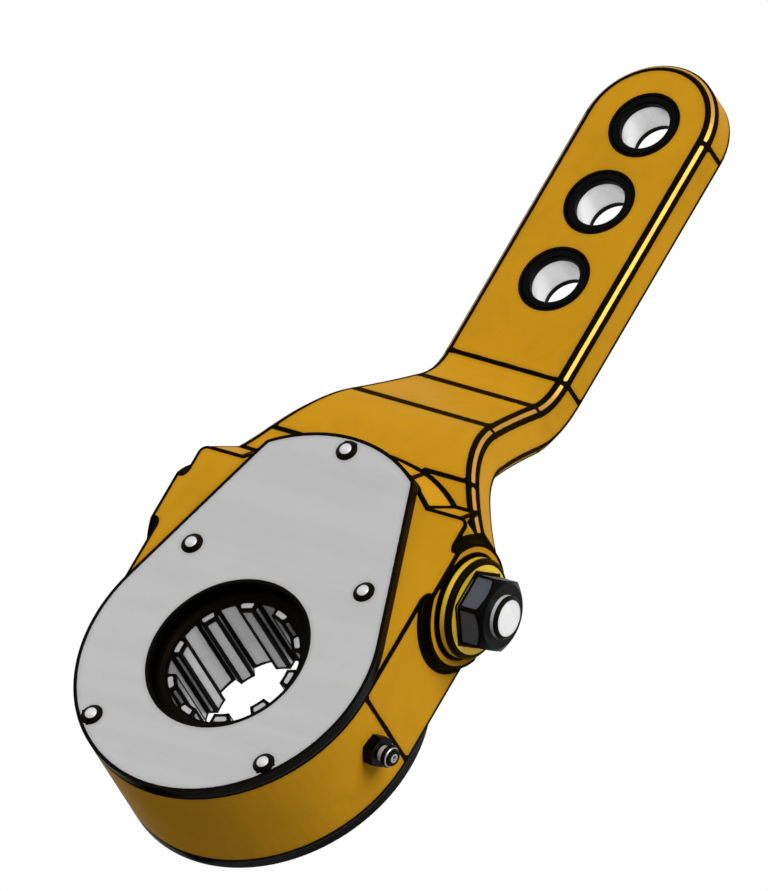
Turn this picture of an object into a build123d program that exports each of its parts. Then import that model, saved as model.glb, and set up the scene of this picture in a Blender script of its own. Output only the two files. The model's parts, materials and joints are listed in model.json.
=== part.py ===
from build123d import *
import math
import os

# Manual brake slack adjuster for a truck axle. Millimetres.
# Origin: on the axis of the splined bore, at mid thickness.
# X runs along the worm shaft toward its hexagon, Y toward the rear cover, Z up along the arm.

# Driving dimensions: body and covers
body_width = 88.0
body_thickness = 31.0
shoulder_height = 58.7
shoulder_corner_radius = 2.5
shoulder_inner_x = 30.3
shoulder_peak_inset = 3.5
shoulder_peak_rise = 7.2
gusset_rise = 5.5
gusset_spread = 0.45
gusset_bow = 0.8
gusset_bury = 1.0
cover_thickness = 2.5
gasket_thickness = 0.5
cover_hole_radius = 22.6
cover_side_angle = 19.3
cover_top_height = 71.4
cover_top_radius = 42.0
cover_corner_radius = 2.5
crown_inset = 0.4
running_clearance = 0.05
cutting_allowance = 1.0

# Driving dimensions: cover rivets
rivet_rim_share = 0.59799
top_rivet_edge_distance = 4.4
rivet_head_radius = 2.85
rivet_head_height = 1.3
rivet_shank_radius = 2.1
rivet_grip = 6.5

# Driving dimensions: arm
arm_thickness = 13.2
arm_half_width = 20.2
arm_front_offset = 23.65
arm_foot_setback = 7.0
arm_bend_angle = 45.0
arm_upper_bend_height = 124.0
arm_upper_bend_radius = 16.0
arm_foot_bend_radius = 30.4
arm_foot_depth = 12.0
arm_flare_radius = 97.7
arm_edge_bevel = 2.0
clevis_hole_heights = (152.4, 177.8, 203.2)
clevis_bore_radius = 7.1
clevis_bushing_wall = 2.3
clevis_bushing_chamfer = 0.4

# Driving dimensions: worm wheel
wheel_radius = 34.0
wheel_half_length = 14.1
wheel_teeth = 22
wheel_edge_chamfer = 0.8
spline_count = 10
spline_major_radius = 19.05
spline_minor_radius = 16.38
spline_groove_width = 5.94
spline_recess_radius = 19.7
spline_recess_depth = 1.0
hub_radius = 24.5
hub_projection = 1.0
seal_outer_radius = 30.0

# Driving dimensions: worm
worm_height = 41.3
worm_pitch_radius = 10.0
worm_root_radius = 7.6
worm_tip_radius = 12.0
worm_flank_angle = 20.0
worm_backlash = 0.9
worm_thread_half_length = 16.0
worm_half_length = 20.0
worm_hub_radius = 11.0
worm_hub_gap = 0.5
thread_embedding = 0.4
gash_floor_angle = 15.0
gash_mouth_angle = 30.0
gash_lean_radius = 8.2
gash_root_clearance = 0.4
worm_bore_radius = 12.6

# Driving dimensions: shaft, bushes and washers
journal_radius = 5.0
worm_seat_radius = 5.5
neck_radius = 7.5
shaft_end_radius = 6.0
shaft_end_bevel = 0.6
left_bush_length = 15.0
right_bush_length = 8.0
right_bush_radius = 9.5
washer_thickness = 0.9
washer_radius = 11.8
worm_pin_radius = 1.5
worm_pin_inset = 0.3
ring_groove_width = 1.9
ring_groove_depth = 1.3
o_ring_section_radius = 0.62

# Driving dimensions: bosses, lock sleeve and hexagon
boss_radius = 17.2
boss_foot_fillet = 1.1
boss_height = 2.5
sleeve_flange_radius = 13.8
sleeve_flange_length = 3.6
sleeve_flange_bevel = 0.8
sleeve_radius = 12.4
sleeve_length = 15.5
sleeve_travel = 7.0
sleeve_seat_gap = 0.4
sleeve_neck_clearance = 0.2
lug_radius = 13.5
lug_width = 4.0
lug_length = 3.0
retaining_ring_thickness = 1.0
retaining_ring_radius = 14.25
retaining_ring_clearance = 0.3
retaining_ring_gap = 2.4
hexagon_across_flats = 19.05
hexagon_length = 7.6
hexagon_face_inset = 0.6
hexagon_bevel_slope = 0.75
hexagon_socket_clearance = 0.1
hexagon_gap = 0.3
shaft_end_projection = 2.0
spring_wire_radius = 0.7
spring_turns = 3.0
spring_end_clearance = 0.1
plug_length = 4.0
plug_wall = 1.4

# Driving dimensions: grease fitting
fitting_angle = -8.5
fitting_thread_radius = 3.15
fitting_thread_length = 7.0
fitting_hexagon_across_flats = 7.94
fitting_hexagon_length = 3.2
fitting_neck_radius = 2.3
fitting_head_radius = 3.25
fitting_head_length = 2.475
fitting_head_land = 0.4
fitting_tip_radius = 2.1
fitting_nipple_length = 4.5
fitting_passage_radius = 1.2
fitting_ball_radius = 1.1
fitting_seat_inset = 1.2
fitting_ball_drop = 0.45
fitting_mouth_radius = 0.8
fitting_spring_wire_radius = 0.2
fitting_spring_clearance = 0.1
fitting_spring_turns = 4.0
fitting_spring_height = 4.8

# Derived places, all on the axes named above
half_body = body_thickness / 2
half_width = body_width / 2
cover_inner_y = half_body + gasket_thickness
cover_outer_y = cover_inner_y + cover_thickness
top_rivet_height = cover_top_height - top_rivet_edge_distance
wheel_bore_radius = wheel_radius + running_clearance
rivet_circle_radius = wheel_bore_radius + rivet_rim_share * (half_width - wheel_bore_radius)
wheel_pitch_radius = worm_height - worm_pitch_radius
worm_lead = 2 * math.pi * wheel_pitch_radius / wheel_teeth
gash_lean = math.degrees(math.atan(worm_lead / (2 * math.pi * gash_lean_radius)))
arm_foot_front = arm_foot_setback - half_body
clevis_seat_radius = clevis_bore_radius + clevis_bushing_wall
boss_face_x = half_width + boss_height
washer_gap = running_clearance
worm_bore_end_x = worm_half_length + washer_thickness + 2 * washer_gap
chamber_floor_x = worm_bore_end_x + right_bush_length
sleeve_bore_radius = sleeve_radius + running_clearance
flange_back_x = boss_face_x + sleeve_seat_gap
sleeve_front_x = flange_back_x + sleeve_flange_length
sleeve_back_x = sleeve_front_x - sleeve_length
ring_x = sleeve_back_x + lug_length + sleeve_travel + running_clearance
hexagon_back_x = sleeve_front_x + hexagon_gap
hexagon_front_x = hexagon_back_x + hexagon_length
shaft_tip_x = hexagon_front_x + shaft_end_projection
fitting_tip_height = fitting_hexagon_length + fitting_nipple_length
fitting_seat_height = fitting_tip_height - fitting_seat_inset
fitting_ball_height = fitting_seat_height - fitting_ball_drop
fitting_spring_top = fitting_ball_height - fitting_ball_radius - fitting_spring_wire_radius
fitting_spring_foot = fitting_spring_top - fitting_spring_height


def disc_at(radius, x=0.0, z=0.0):
    return Pos(x, z) * Circle(radius)


def slab(outline, y_from, y_to):
    """Prism of an outline drawn in X and Z, between two places along Y."""
    return extrude(Plane.XZ.offset(-y_to) * outline, y_to - y_from)


def x_round(radius, x_from, x_to):
    """Round bar on the worm shaft's axis."""
    bar = Cylinder(radius, x_to - x_from, align=(Align.CENTER, Align.CENTER, Align.MIN))
    return Pos(x_from, 0, worm_height) * Rot(0, 90, 0) * bar


def x_tube(outer_radius, inner_radius, x_from, x_to):
    return x_round(outer_radius, x_from, x_to) - x_round(inner_radius, x_from, x_to)


def x_turned(points):
    """Turned piece on the worm shaft's axis, from (x, radius) corners."""
    profile = make_face(Polyline(*points, close=True))
    turned = revolve(profile, Axis.X)
    return Pos(0, 0, worm_height) * turned


def x_hexagon(across_flats, x_from, x_to):
    """Hexagonal bar on the worm shaft's axis, with its corners up and down."""
    bar = extrude(RegularPolygon(across_flats / math.sqrt(3), 6), x_to - x_from)
    return Pos(x_from, 0, worm_height) * Rot(0, 90, 0) * bar


def both_sides(piece):
    return piece + mirror(piece, Plane.YZ)


# Outlines in X and Z


def cover_corner():
    """Where the cover's straight flank would meet its top arc, and where it leaves the round end."""
    turn = math.radians(cover_side_angle)
    tangent = Vector(half_width * math.cos(turn), half_width * math.sin(turn))
    rise = Vector(-math.sin(turn), math.cos(turn))
    offset = tangent - Vector(0, cover_top_height - cover_top_radius)
    along = offset.dot(rise)
    reach = math.sqrt(along**2 - offset.dot(offset) + cover_top_radius**2) - along
    return tangent, tangent + rise * reach


def cover_outline():
    """Round end about the bore, straight flanks tangent to it, and a shallow arc on top."""
    tangent, corner = cover_corner()
    flank = Line(tangent, corner)
    top = ThreePointArc(corner, (0, cover_top_height), (-corner.X, corner.Y))
    other_flank = Line((-corner.X, corner.Y), (-tangent.X, tangent.Y))
    round_end = ThreePointArc((-tangent.X, tangent.Y), (0, -half_width), tangent)
    face = make_face([flank, top, other_flank, round_end])
    corners = face.vertices().sort_by(Axis.Y)[-2:]
    return fillet(corners, cover_corner_radius)


def shoulder_outline(rise):
    """Top of the shoulders at the body's front edge, or raised and bowed at the foot of the arm."""
    spread = gusset_spread * rise
    inner_x = shoulder_inner_x + spread
    side_x = half_width - shoulder_corner_radius - spread
    side_z = shoulder_height + rise
    peak_x = cover_corner()[1].X - shoulder_peak_inset - spread
    peak_z = side_z + shoulder_peak_rise
    crown_z = cover_top_height - crown_inset + spread
    foot_z = shoulder_height - arm_foot_depth
    slope = Vector(inner_x - peak_x, side_z - peak_z)
    outward = Vector(-slope.Y, slope.X).normalized()
    middle = Vector((inner_x + peak_x) / 2, (side_z + peak_z) / 2) + outward * gusset_bow * rise / gusset_rise
    if rise:
        right_slope = ThreePointArc((peak_x, peak_z), middle, (inner_x, side_z))
        left_slope = ThreePointArc((-inner_x, side_z), (-middle.X, middle.Y), (-peak_x, peak_z))
    else:
        right_slope = Line((peak_x, peak_z), (inner_x, side_z))
        left_slope = Line((-inner_x, side_z), (-peak_x, peak_z))
    base = Polyline((inner_x, side_z), (side_x, side_z), (side_x, foot_z), (-side_x, foot_z),
                    (-side_x, side_z), (-inner_x, side_z))
    crown = ThreePointArc((-peak_x, peak_z), (0, crown_z), (peak_x, peak_z))
    return make_face([crown, right_slope, base, left_slope])


def body_outline():
    block = Pos(0, shoulder_height / 2) * Rectangle(body_width, shoulder_height)
    top_corners = block.vertices().sort_by(Axis.Y)[-2:]
    block = fillet(top_corners, shoulder_corner_radius)
    return Circle(half_width) + block + cover_outline()


def arm_outline():
    """Straight blade with a round tip, flared by one long arc down to the body's sides."""
    tip_z = clevis_hole_heights[-1]
    bend_z = arm_upper_bend_height
    foot_z = shoulder_height - arm_foot_depth
    centre_x = arm_half_width + arm_flare_radius
    foot_angle = math.acos((centre_x - half_width) / arm_flare_radius)
    mid_angle = foot_angle / 2
    meet_z = bend_z - arm_flare_radius * math.sin(foot_angle)
    mid_x = centre_x - arm_flare_radius * math.cos(mid_angle)
    mid_z = bend_z - arm_flare_radius * math.sin(mid_angle)
    right = [
        Line((half_width, foot_z), (half_width, meet_z)),
        ThreePointArc((half_width, meet_z), (mid_x, mid_z), (arm_half_width, bend_z)),
        Line((arm_half_width, bend_z), (arm_half_width, tip_z)),
    ]
    left = [
        Line((-arm_half_width, tip_z), (-arm_half_width, bend_z)),
        ThreePointArc((-arm_half_width, bend_z), (-mid_x, mid_z), (-half_width, meet_z)),
        Line((-half_width, meet_z), (-half_width, foot_z)),
    ]
    tip = ThreePointArc((arm_half_width, tip_z), (0, tip_z + arm_half_width), (-arm_half_width, tip_z))
    foot = Line((-half_width, foot_z), (half_width, foot_z))
    return make_face(right + [tip] + left + [foot])


# Arm, body and covers


def arm_line(depth):
    """Lines and arcs of the bent arm's side view, at a depth behind its front face."""
    turn = math.radians(arm_bend_angle)
    drop = 1 - math.cos(turn)
    shift = arm_front_offset - arm_foot_front
    slope = (shift - (arm_upper_bend_radius + arm_foot_bend_radius) * drop) / math.sin(turn)
    low_y = arm_foot_front + arm_foot_bend_radius
    low_z = arm_upper_bend_height - slope * math.cos(turn)
    low_z = low_z - (arm_upper_bend_radius + arm_foot_bend_radius) * math.sin(turn)
    high_y = arm_front_offset - arm_upper_bend_radius
    low_bend = CenterArc((low_y, low_z), arm_foot_bend_radius - depth, 180, -arm_bend_angle)
    high_bend = CenterArc((high_y, arm_upper_bend_height), arm_upper_bend_radius + depth,
                          -arm_bend_angle, arm_bend_angle)
    foot_z = shoulder_height - arm_foot_depth - cutting_allowance
    tip_z = clevis_hole_heights[-1] + arm_half_width + cutting_allowance
    foot = Line((arm_foot_front + depth, foot_z), low_bend @ 0)
    blade = Line(high_bend @ 1, (arm_front_offset + depth, tip_z))
    return [foot, low_bend, Line(low_bend @ 1, high_bend @ 0), high_bend, blade]


def arm_side_profile():
    """S-bent band seen from the side: foot, bend back, slope, bend up, blade."""
    front = arm_line(0)
    rear = arm_line(arm_thickness)
    bottom = Line(front[0] @ 0, rear[0] @ 0)
    top = Line(front[-1] @ 1, rear[-1] @ 1)
    return make_face(front + rear + [bottom, top])


def is_arm_rim(edge):
    """True for the long edges that follow the arm's outline, not those across or through it."""
    start = edge @ 0
    end = edge @ 1
    through = abs(start.X - end.X) < 0.01 and abs(start.Z - end.Z) < 0.01
    across = edge.geom_type == GeomType.LINE and abs(start.X + end.X) < 0.01
    return not through and not across and edge.center().Z > shoulder_height


def arm():
    reach = half_width + cutting_allowance
    side_plane = Plane((-reach, 0, 0), x_dir=(0, 1, 0), z_dir=(1, 0, 0))
    bent_plate = extrude(side_plane * arm_side_profile(), 2 * reach)
    blade = bent_plate & slab(arm_outline(), -half_width, half_width)
    return chamfer(blade.edges().filter_by(is_arm_rim), arm_edge_bevel)


def shoulder_gusset(body_face_y, arm_face_y):
    """Sloped shoulders from one face of the body to the foot of the arm, ending inside the arm."""
    depth = arm_face_y - body_face_y
    buried = 1 + gusset_bury / abs(depth)
    low_edge = Plane.XZ.offset(-body_face_y) * shoulder_outline(0)
    raised = Plane.XZ.offset(-body_face_y - depth * buried) * shoulder_outline(gusset_rise * buried)
    return loft([low_edge, raised])


def worm_bosses():
    """Round bosses at both ends of the worm bore, filleted at the foot and flush with the faces."""
    foot = boss_foot_fillet
    rim = Polyline((half_width, boss_radius + foot), (half_width - foot, boss_radius + foot),
                   (half_width - foot, 0), (boss_face_x, 0), (boss_face_x, boss_radius),
                   (half_width + foot, boss_radius))
    fillet_arc = RadiusArc((half_width + foot, boss_radius), (half_width, boss_radius + foot), foot)
    turned = Pos(0, 0, worm_height) * revolve(make_face([rim, fillet_arc]), Axis.X)
    height = shoulder_height - worm_height
    keep = Pos(0, 0, worm_height + height) * Box(4 * half_width, body_thickness, 4 * height,
                                                 align=(Align.CENTER, Align.CENTER, Align.MAX))
    return both_sides(turned) & keep


def rivet_places():
    side = rivet_circle_radius * math.sqrt(0.5)
    return [(side, side), (-side, side), (-side, -side), (side, -side), (0, top_rivet_height)]


def fitting_place():
    """Plane on the round end, with its normal pointing straight out of the body."""
    turn = math.radians(fitting_angle)
    out = Vector(math.cos(turn), 0, math.sin(turn))
    return Plane(out * half_width, x_dir=(0, 1, 0), z_dir=out)


def body():
    solid = slab(body_outline(), -half_body, half_body)
    solid = solid + shoulder_gusset(-half_body, arm_foot_front)
    solid = solid + shoulder_gusset(half_body, arm_foot_front + arm_thickness)
    solid = solid + arm() + worm_bosses()
    solid = solid - slab(Circle(wheel_bore_radius), -half_body, half_body)
    solid = solid - x_round(worm_bore_radius, -boss_face_x, worm_bore_end_x)
    solid = solid - x_round(right_bush_radius, worm_bore_end_x, chamber_floor_x)
    solid = solid - x_round(sleeve_bore_radius, chamber_floor_x, boss_face_x)
    solid = solid - lug_ways()
    solid = solid - x_round(retaining_ring_radius, ring_x, ring_x + retaining_ring_thickness)
    for x, z in rivet_places():
        shank = disc_at(rivet_shank_radius, x, z)
        solid = solid - slab(shank, half_body - rivet_grip, half_body)
        solid = solid - slab(shank, -half_body, rivet_grip - half_body)
    for height in clevis_hole_heights:
        solid = solid - slab(disc_at(clevis_seat_radius, 0, height), 0, 2 * body_width)
    place = fitting_place()
    socket = Cylinder(fitting_thread_radius, fitting_thread_length,
                      align=(Align.CENTER, Align.CENTER, Align.MAX))
    channel = Cylinder(fitting_passage_radius, half_width - wheel_radius + cutting_allowance,
                       align=(Align.CENTER, Align.CENTER, Align.MAX))
    return solid - place * socket - place * channel


def lug_ways():
    """Two keyways above and below the shaft, in which the sleeve's lugs slide."""
    length = boss_face_x - sleeve_back_x + sleeve_seat_gap
    height = 2 * (lug_radius + running_clearance)
    width = lug_width + 2 * running_clearance
    bar = Pos(boss_face_x - length / 2, 0, worm_height) * Box(length, width, height)
    return bar & x_round(lug_radius + running_clearance, sleeve_back_x - cutting_allowance,
                         boss_face_x + cutting_allowance)


def cover(side):
    """One cover plate; side is -1 at the front and 1 at the rear."""
    plate = slab(cover_outline() - Circle(cover_hole_radius), cover_inner_y, cover_outer_y)
    for x, z in rivet_places():
        plate = plate - slab(disc_at(rivet_shank_radius, x, z), cover_inner_y, cover_outer_y)
    return plate if side > 0 else mirror(plate, Plane.XZ)


def gasket(side):
    sheet = slab(cover_outline() - Circle(wheel_bore_radius), half_body, cover_inner_y)
    for x, z in rivet_places():
        sheet = sheet - slab(disc_at(rivet_shank_radius, x, z), half_body, cover_inner_y)
    return sheet if side > 0 else mirror(sheet, Plane.XZ)


def rivets(side):
    """Five drive rivets with domed heads, in one node."""
    head_sphere = (rivet_head_radius**2 + rivet_head_height**2) / (2 * rivet_head_height)
    dome_centre = cover_outer_y + rivet_head_height - head_sphere
    pieces = []
    for x, z in rivet_places():
        shank = slab(disc_at(rivet_shank_radius, x, z), half_body - rivet_grip, cover_outer_y)
        collar = slab(disc_at(rivet_head_radius, x, z), cover_outer_y, cover_outer_y + head_sphere)
        dome = collar & Pos(x, dome_centre, z) * Sphere(head_sphere)
        pieces.append(shank + dome)
    group = Compound(children=pieces)
    return group if side > 0 else mirror(group, Plane.XZ)


def clevis_bushing(height):
    front_y = arm_front_offset
    rear_y = arm_front_offset + arm_thickness
    ring = slab(disc_at(clevis_seat_radius, 0, height), front_y, rear_y)
    ring = ring - slab(disc_at(clevis_bore_radius, 0, height), front_y, rear_y)
    rims = ring.edges().filter_by(GeomType.CIRCLE)
    inner_rims = [rim for rim in rims if abs(rim.radius - clevis_bore_radius) < 0.01]
    return chamfer(inner_rims, clevis_bushing_chamfer)


# Worm wheel


def spline_outline():
    """Opening with ten straight-sided grooves between ten lands."""
    grooves = Sketch()
    for index in range(spline_count):
        angle = (index + 0.5) * 360 / spline_count
        bar = Pos(spline_major_radius / 2, 0) * Rectangle(spline_major_radius, spline_groove_width)
        grooves = grooves + Rot(0, 0, angle) * bar
    return Circle(spline_minor_radius) + (grooves & Circle(spline_major_radius))


def tooth_gash():
    """Leaning ring that the hob leaves between two teeth, at the top of the wheel."""
    floor_radius = worm_tip_radius + gash_root_clearance
    mouth_radius = worm_root_radius / 2
    pitch_half = (worm_lead / 2 + worm_backlash / 2) / 2
    floor_half = pitch_half - (floor_radius - worm_pitch_radius) * math.tan(math.radians(gash_floor_angle))
    mouth_half = pitch_half + (worm_pitch_radius - mouth_radius) * math.tan(math.radians(gash_mouth_angle))
    profile = make_face(Polyline(
        (-mouth_half, mouth_radius), (mouth_half, mouth_radius), (pitch_half, worm_pitch_radius),
        (floor_half, floor_radius), (-floor_half, floor_radius), (-pitch_half, worm_pitch_radius),
        close=True))
    ring = revolve(profile, Axis.X)
    return Pos(0, 0, worm_height) * Rot(0, 0, -gash_lean) * ring


def worm_wheel():
    blank = slab(Circle(wheel_radius), -wheel_half_length, wheel_half_length)
    rims = blank.edges().filter_by(GeomType.CIRCLE)
    blank = chamfer(rims, wheel_edge_chamfer)
    hub_half_length = wheel_half_length + hub_projection
    blank = blank + slab(Circle(hub_radius), -hub_half_length, hub_half_length)
    recess = Cone(spline_recess_radius, spline_recess_radius + spline_recess_depth, spline_recess_depth,
                  align=(Align.CENTER, Align.CENTER, Align.MAX))
    blank = blank - Pos(0, -hub_half_length, 0) * Rot(90, 0, 0) * recess
    blank = blank - Pos(0, hub_half_length, 0) * Rot(-90, 0, 0) * recess
    throat_radius = worm_root_radius + gash_root_clearance
    throat_face = Plane.YZ * (Pos(0, worm_height) * Circle(throat_radius))
    blank = blank - revolve(throat_face, Axis.Y)
    gash = tooth_gash()
    for index in range(wheel_teeth):
        blank = blank - Rot(0, index * 360 / wheel_teeth, 0) * gash
    blank = blank - slab(spline_outline(), -wheel_half_length, wheel_half_length)
    return blank


def hub_seal(side):
    ring = Circle(seal_outer_radius) - Circle(hub_radius + running_clearance)
    seal = slab(ring, wheel_half_length + running_clearance, cover_inner_y)
    return seal if side > 0 else mirror(seal, Plane.XZ)


# Worm and its shaft


def worm_thread():
    """Right-hand trapezoidal thread, swept along a helix of whole turns."""
    turns = 2 * math.ceil(worm_thread_half_length / worm_lead) + 2
    length = turns * worm_lead
    slope = math.tan(math.radians(worm_flank_angle))
    pitch_half = (worm_lead / 2 - worm_backlash) / 2
    foot_radius = worm_root_radius - thread_embedding
    tip_half = pitch_half - (worm_tip_radius - worm_pitch_radius) * slope
    foot_half = pitch_half + (worm_pitch_radius - foot_radius) * slope
    path = Pos(0, 0, -length / 2) * Helix(worm_lead, length, worm_pitch_radius)
    tooth = make_face(Polyline((foot_radius, -foot_half), (worm_tip_radius, -tip_half),
                               (worm_tip_radius, tip_half), (foot_radius, foot_half), close=True))
    section = Pos(0, 0, -length / 2) * (Plane.XZ * tooth)
    return sweep(section, path=path, is_frenet=True)


def worm():
    envelope = Cylinder(worm_tip_radius, 2 * worm_thread_half_length)
    core = Cylinder(worm_root_radius, 2 * worm_half_length)
    hub_length = worm_half_length - worm_thread_half_length - worm_hub_gap
    hub = Pos(0, 0, worm_half_length - hub_length / 2) * Cylinder(worm_hub_radius, hub_length)
    other_hub = mirror(hub, Plane.XY)
    turned = core + (worm_thread() & envelope) + hub + other_hub
    turned = turned - Cylinder(worm_seat_radius, 2 * worm_half_length)
    placed = Pos(0, 0, worm_height) * Rot(0, 90, 0) * turned
    return placed - pin_bar(worm_hub_radius + cutting_allowance)


def pin_x():
    hub_length = worm_half_length - worm_thread_half_length - worm_hub_gap
    return -worm_half_length + hub_length / 2


def pin_bar(reach):
    return Pos(pin_x(), 0, worm_height) * Rot(90, 0, 0) * Cylinder(worm_pin_radius, 2 * reach)


def worm_pin():
    return pin_bar(worm_hub_radius - worm_pin_inset)


def worm_shaft():
    left_x = -worm_bore_end_x - left_bush_length
    groove_x = chamber_floor_x - right_bush_length / 2
    groove_from = groove_x - ring_groove_width / 2
    groove_to = groove_x + ring_groove_width / 2
    groove_radius = neck_radius - ring_groove_depth
    shaft = x_turned([
        (left_x, 0),
        (left_x, journal_radius - shaft_end_bevel),
        (left_x + shaft_end_bevel, journal_radius),
        (-worm_half_length, journal_radius),
        (-worm_half_length, worm_seat_radius),
        (worm_half_length, worm_seat_radius),
        (worm_half_length, neck_radius),
        (groove_from, neck_radius),
        (groove_from, groove_radius),
        (groove_to, groove_radius),
        (groove_to, neck_radius),
        (hexagon_back_x, neck_radius),
        (hexagon_back_x, shaft_end_radius),
        (shaft_tip_x - shaft_end_bevel, shaft_end_radius),
        (shaft_tip_x, shaft_end_radius - shaft_end_bevel),
        (shaft_tip_x, 0),
    ])
    return shaft - pin_bar(worm_hub_radius)


def shaft_o_ring():
    ring_radius = neck_radius - o_ring_section_radius - running_clearance
    groove_x = chamber_floor_x - right_bush_length / 2
    ring = Torus(ring_radius, o_ring_section_radius)
    return Pos(groove_x, 0, worm_height) * Rot(0, 90, 0) * ring


def adjusting_hexagon():
    bar = x_hexagon(hexagon_across_flats, hexagon_back_x, hexagon_front_x)
    corner_radius = hexagon_across_flats / math.sqrt(3)
    face_radius = hexagon_across_flats / 2 - hexagon_face_inset
    bevel = (corner_radius - face_radius) * hexagon_bevel_slope
    outer_radius = corner_radius + cutting_allowance
    envelope = x_turned([
        (hexagon_back_x, 0),
        (hexagon_back_x, outer_radius),
        (hexagon_front_x - bevel, outer_radius),
        (hexagon_front_x - bevel, corner_radius),
        (hexagon_front_x, face_radius),
        (hexagon_front_x, 0),
    ])
    return (bar & envelope) - x_round(shaft_end_radius, hexagon_back_x, hexagon_front_x)


def thrust_washer(side):
    """Washer between the worm and a bush: on the neck at the right, on the journal at the left."""
    shaft_radius = neck_radius if side > 0 else journal_radius
    ring = x_tube(washer_radius, shaft_radius + running_clearance,
                  worm_half_length + washer_gap, worm_bore_end_x - washer_gap)
    return ring if side > 0 else mirror(ring, Plane.YZ)


def left_shaft_bush():
    outer_x = -worm_bore_end_x - left_bush_length
    return x_tube(worm_bore_radius, journal_radius + running_clearance, outer_x, -worm_bore_end_x)


def right_shaft_bush():
    return x_tube(right_bush_radius, neck_radius + running_clearance, worm_bore_end_x, chamber_floor_x)


def worm_bore_plug():
    """Cup plug that closes the left end of the worm bore."""
    outer_x = -boss_face_x
    cup = x_round(worm_bore_radius, outer_x, outer_x + plug_length)
    return cup - x_round(worm_bore_radius - plug_wall, outer_x, outer_x + plug_length - plug_wall)


# Lock sleeve group


def lock_sleeve():
    flange = x_turned([
        (flange_back_x, 0),
        (flange_back_x, sleeve_flange_radius),
        (sleeve_front_x - sleeve_flange_bevel, sleeve_flange_radius),
        (sleeve_front_x, sleeve_flange_radius - sleeve_flange_bevel),
        (sleeve_front_x, 0),
    ])
    barrel = x_round(sleeve_radius, sleeve_back_x, flange_back_x)
    lug_bar = Pos(sleeve_back_x + lug_length / 2, 0, worm_height) * Box(lug_length, lug_width, 4 * lug_radius)
    lugs = lug_bar & x_round(lug_radius, sleeve_back_x, sleeve_back_x + lug_length)
    sleeve = flange + barrel + lugs
    socket_flats = hexagon_across_flats + 2 * hexagon_socket_clearance
    socket_floor_x = sleeve_front_x - hexagon_length - hexagon_gap
    neck_bore = neck_radius + sleeve_neck_clearance
    sleeve = sleeve - x_round(neck_bore, sleeve_back_x, sleeve_front_x)
    return sleeve - x_hexagon(socket_flats, socket_floor_x, sleeve_front_x)


def lock_spring():
    """Open coil behind the sleeve, shown at its length with the sleeve pressed in."""
    room = sleeve_back_x - chamber_floor_x
    height = room - 2 * (spring_wire_radius + spring_end_clearance)
    coil_radius = (neck_radius + sleeve_radius) / 2
    path = Helix(height / spring_turns, height, coil_radius)
    start = Plane(path @ 0, z_dir=path % 0)
    wire = sweep(start * Circle(spring_wire_radius), path=path, is_frenet=True)
    foot_x = chamber_floor_x + spring_wire_radius + spring_end_clearance
    return Pos(foot_x, 0, worm_height) * Rot(0, 90, 0) * wire


def sleeve_retaining_ring():
    inner_radius = sleeve_radius + retaining_ring_clearance
    ring = x_tube(retaining_ring_radius, inner_radius, ring_x, ring_x + retaining_ring_thickness)
    slot = Box(4 * retaining_ring_thickness, retaining_ring_radius, retaining_ring_gap)
    gap = Pos(ring_x, retaining_ring_radius, worm_height) * slot
    return ring - gap


# Grease fitting


def fitting_turned(points):
    profile = make_face(Polyline(*points, close=True))
    turned = revolve(profile, Axis.Y)
    return fitting_place() * Rot(90, 0, 0) * turned


def grease_fitting():
    """Threaded stem, hexagon and nipple with a ball seat at its tip."""
    hexagon = extrude(RegularPolygon(fitting_hexagon_across_flats / math.sqrt(3), 6),
                      fitting_hexagon_length)
    base = fitting_place() * Rot(0, 0, 90) * hexagon
    head_from = fitting_tip_height - fitting_head_length
    stem = fitting_turned([
        (0, -fitting_thread_length),
        (fitting_thread_radius, -fitting_thread_length),
        (fitting_thread_radius, 0),
        (fitting_neck_radius, 0),
        (fitting_neck_radius, head_from),
        (fitting_head_radius, head_from + fitting_head_land),
        (fitting_head_radius, head_from + 2 * fitting_head_land),
        (fitting_tip_radius, fitting_tip_height),
        (0, fitting_tip_height),
    ])
    spring_ledge = fitting_spring_foot - fitting_spring_wire_radius - running_clearance
    passage = fitting_turned([
        (0, -fitting_thread_length - cutting_allowance),
        (fitting_mouth_radius, -fitting_thread_length - cutting_allowance),
        (fitting_mouth_radius, spring_ledge),
        (fitting_passage_radius, spring_ledge),
        (fitting_passage_radius, fitting_seat_height),
        (fitting_mouth_radius, fitting_seat_height + fitting_passage_radius - fitting_mouth_radius),
        (fitting_mouth_radius, fitting_tip_height + cutting_allowance),
        (0, fitting_tip_height + cutting_allowance),
    ])
    return base + stem - passage


def fitting_ball():
    return fitting_place() * (Pos(0, 0, fitting_ball_height) * Sphere(fitting_ball_radius))


def fitting_spring():
    """Coil between a ledge in the passage and the ball, shown with the fitting shut."""
    coil_radius = fitting_passage_radius - fitting_spring_wire_radius - fitting_spring_clearance
    path = Helix(fitting_spring_height / fitting_spring_turns, fitting_spring_height, coil_radius)
    start = Plane(path @ 0, z_dir=path % 0)
    wire = sweep(start * Circle(fitting_spring_wire_radius), path=path, is_frenet=True)
    return fitting_place() * (Pos(0, 0, fitting_spring_foot) * wire)


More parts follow.
